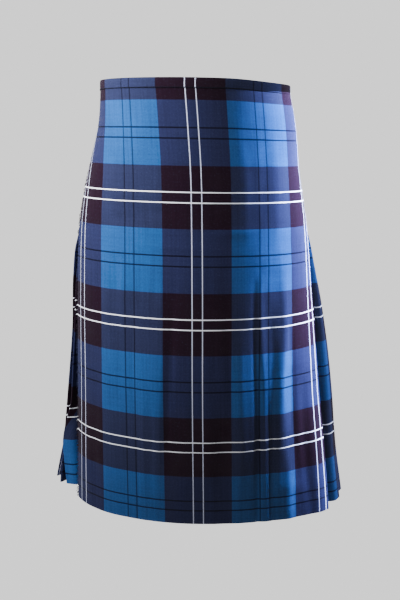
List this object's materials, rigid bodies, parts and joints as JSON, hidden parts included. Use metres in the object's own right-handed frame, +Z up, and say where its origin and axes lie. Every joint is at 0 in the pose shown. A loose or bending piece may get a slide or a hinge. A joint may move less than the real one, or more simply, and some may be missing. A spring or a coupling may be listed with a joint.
{
  "type": "scottish kilt",
  "caption": "Worn wrap kilt of checked wool: flat outer apron with a fringed edge, under apron, knife pleats round the sides and back, narrow waistband, and leather straps with buckles.",
  "frame": {"origin": "centre of the waist, level with the waist straps, where the wearer holds the kilt up", "axes": "+Z up, the front with the flat outer apron faces -Y, and +X is towards the wearer's left"},
  "size_m": [0.4445, 0.3206, 0.6106],
  "materials": {
    "check_cloth": "worsted twill in a blue, brown and white check",
    "fringe_yarn": "loose wool yarn ends",
    "strap_leather": "smooth black leather",
    "buckle_metal": "polished nickel"
  },
  "bodies": {
    "root": {"outer_apron": "check_cloth", "under_apron": "check_cloth", "pleats_left": "check_cloth", "pleats_right": "check_cloth", "waistband": "check_cloth", "apron_fringe": "fringe_yarn", "strap_waist_right": "strap_leather", "strap_hip_right": "strap_leather", "strap_waist_left": "strap_leather", "chape_waist_right": "strap_leather", "chape_hip_right": "strap_leather", "chape_waist_left": "strap_leather", "keeper_waist_right": "strap_leather", "keeper_hip_right": "strap_leather", "keeper_waist_left": "strap_leather", "buckle_waist_right": "buckle_metal", "buckle_hip_right": "buckle_metal", "buckle_waist_left": "buckle_metal", "prong_waist_right": "buckle_metal", "prong_hip_right": "buckle_metal", "prong_waist_left": "buckle_metal"}
  },
  "joints": []
}
